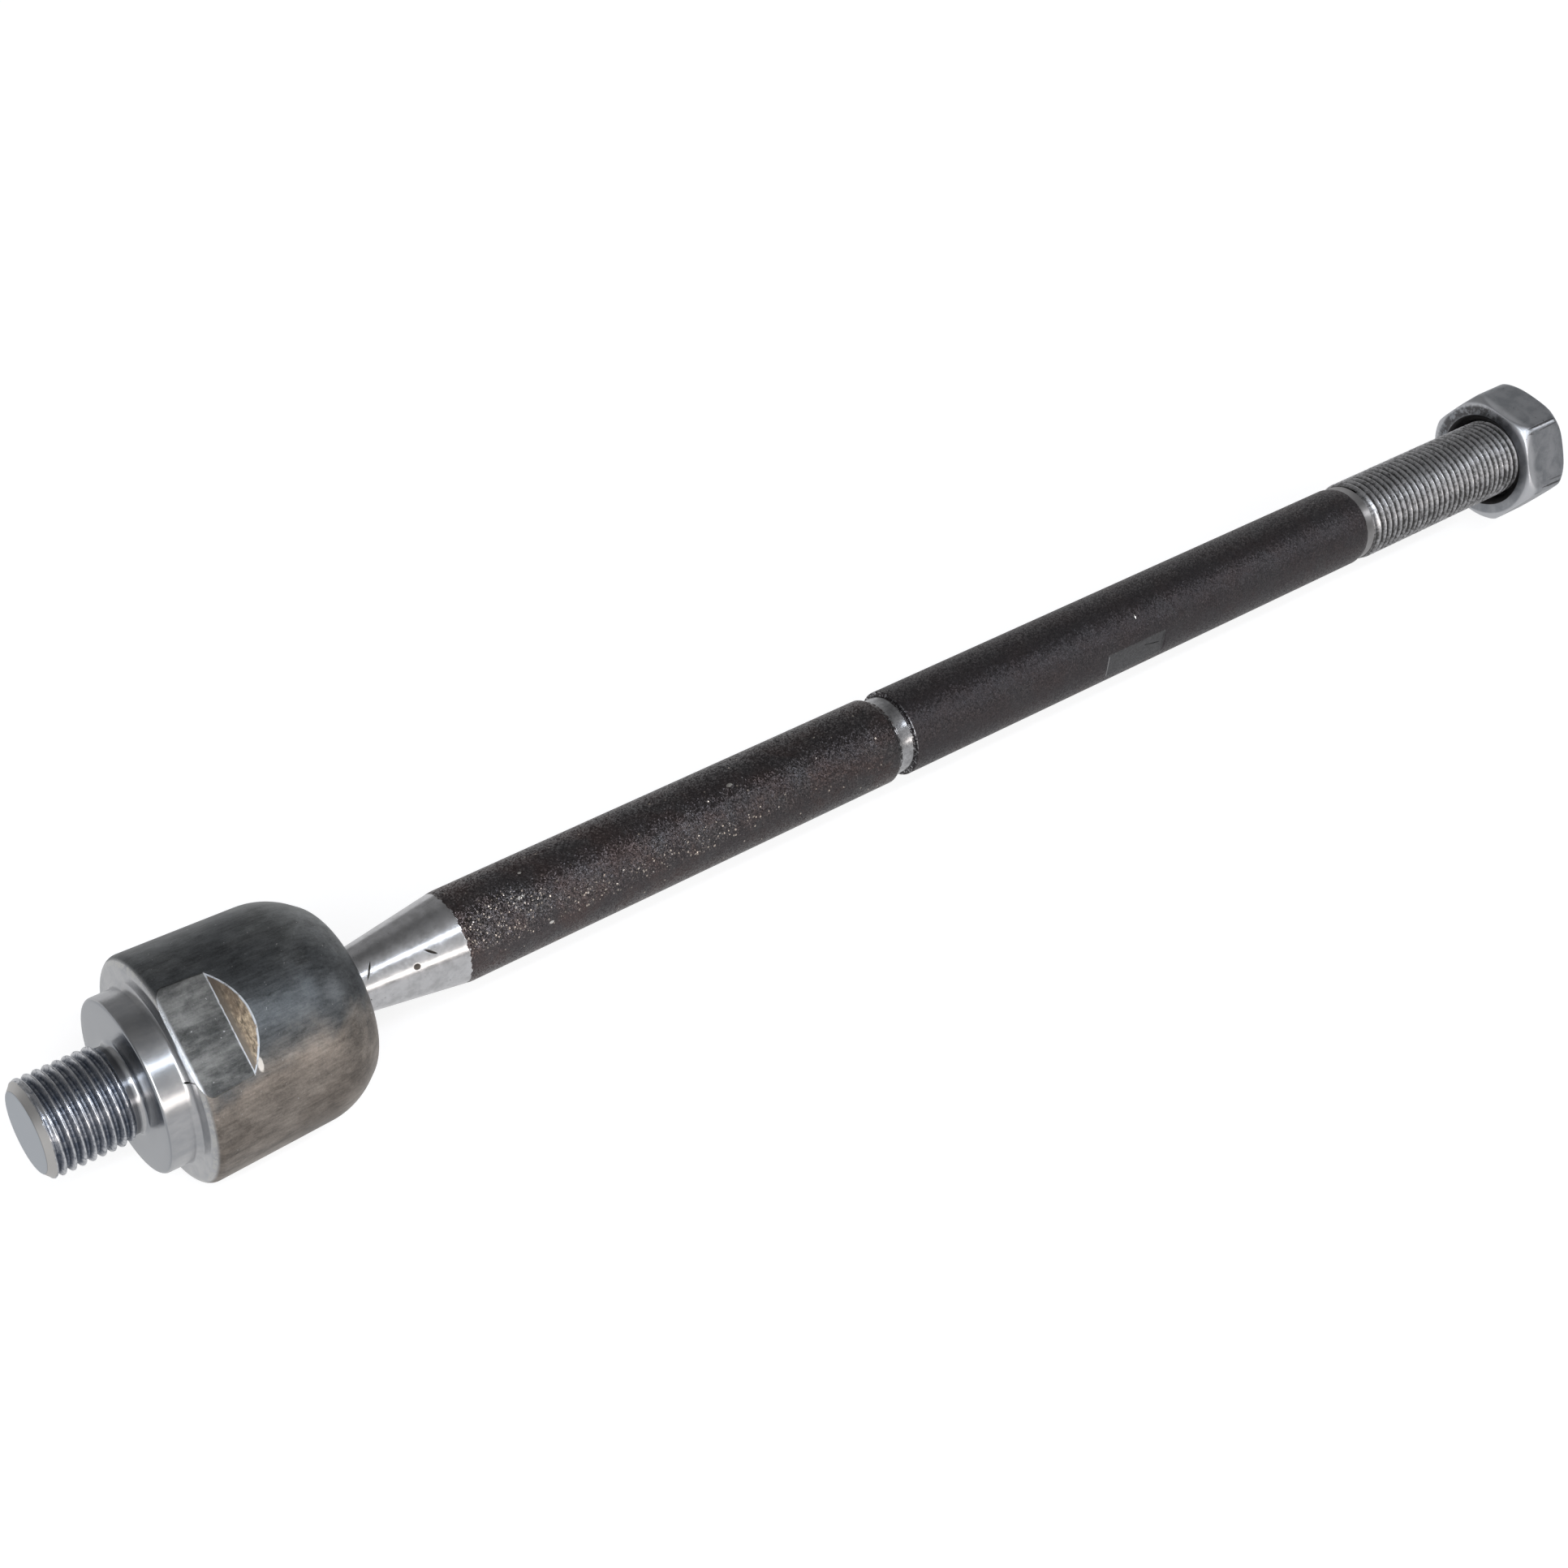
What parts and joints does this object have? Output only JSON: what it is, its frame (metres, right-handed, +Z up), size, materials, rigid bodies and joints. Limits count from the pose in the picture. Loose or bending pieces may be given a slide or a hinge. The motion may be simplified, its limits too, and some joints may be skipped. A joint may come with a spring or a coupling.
{
  "type": "inner tie rod",
  "caption": "Steering rod with a threaded ball socket at one end and a threaded shaft with a jam nut at the other, joined by a ball that swings and turns.",
  "frame": {"origin": "below the middle of the part's length, on the level of its lowest point, with the rod's axis above it", "axes": "+X along the rod from the threaded shank to the jam nut, +Z up with the part lying on its side and one flat of the nut facing down"},
  "size_m": [0.3032, 0.0334, 0.0334],
  "materials": {
    "socket_steel": "machined steel, bright on the shank and collar, dark and brushed on the barrel",
    "spring_steel": "plain spring steel",
    "acetal": "natural moulded plastic",
    "rod_steel": "black mill scale on the shaft, polished neck, bare threads",
    "nut_steel": "satin grey steel with dark handling marks"
  },
  "bodies": {
    "socket": {"socket_housing": "socket_steel", "preload_spring": "spring_steel"},
    "bearing": {"ball_bearing": "acetal"},
    "rod": {"tie_rod": "rod_steel"},
    "nut": {"jam_nut": "nut_steel"}
  },
  "joints": [
    {"name": "ball_spin", "type": "hinge", "parent": "socket", "child": "bearing", "pos_m": [-0.1151, 0, 0.01671], "axis": [1, 0, 0], "continuous": true},
    {"name": "ball_swing", "type": "hinge", "parent": "bearing", "child": "rod", "pos_m": [-0.1151, 0, 0.01671], "axis": [0, 1, 0], "range_deg": [-20, 20]},
    {"name": "nut_travel", "type": "slide", "parent": "rod", "child": "nut", "axis": [1, 0, 0], "range_m": [-0.0365, 0]}
  ]
}
